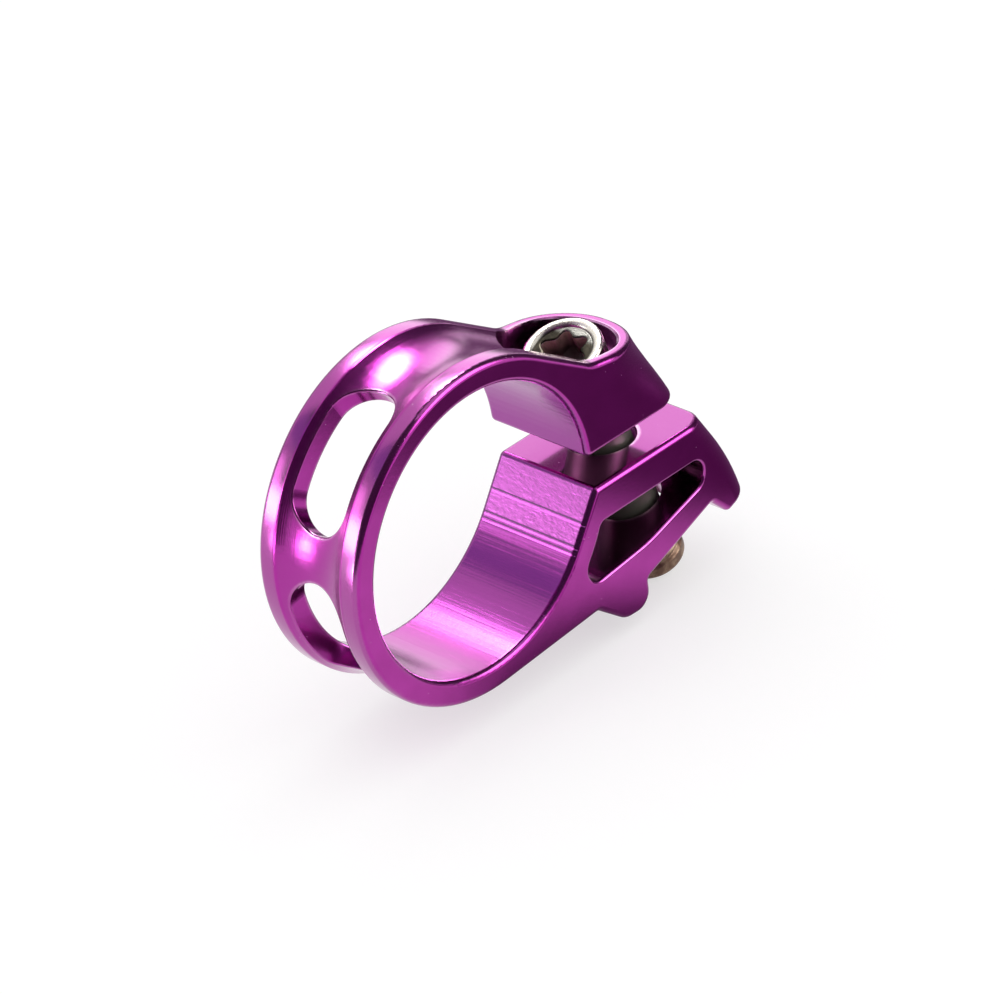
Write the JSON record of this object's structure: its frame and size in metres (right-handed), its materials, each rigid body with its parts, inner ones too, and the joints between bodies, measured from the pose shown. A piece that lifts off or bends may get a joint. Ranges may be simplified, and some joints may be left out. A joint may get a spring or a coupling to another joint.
{
  "type": "shifter clamp",
  "caption": "Slotted band clamp that holds a gear shifter on a bicycle handlebar, closed by a tilted bolt that also carries the shifter on a slanted seat.",
  "frame": {"origin": "centre of the bar bore, at mid-width", "axes": "+Y along the bar, +X from the bar toward the ears and bolt, +Z square to the gap between the ears, bolt head up"},
  "size_m": [0.0411, 0.0096, 0.0289],
  "materials": {
    "anodised_band": "purple anodised, polished",
    "bolt_steel": "bright steel"
  },
  "bodies": {
    "clamp": {"clamp_body": "anodised_band"},
    "bolt": {"clamp_bolt": "bolt_steel"}
  },
  "joints": [
    {"name": "clamp_bolt_turn", "type": "hinge", "parent": "clamp", "child": "bolt", "pos_m": [0.0175, 0, -0.00233], "axis": [-0.342, 0, 0.9397], "continuous": true}
  ]
}
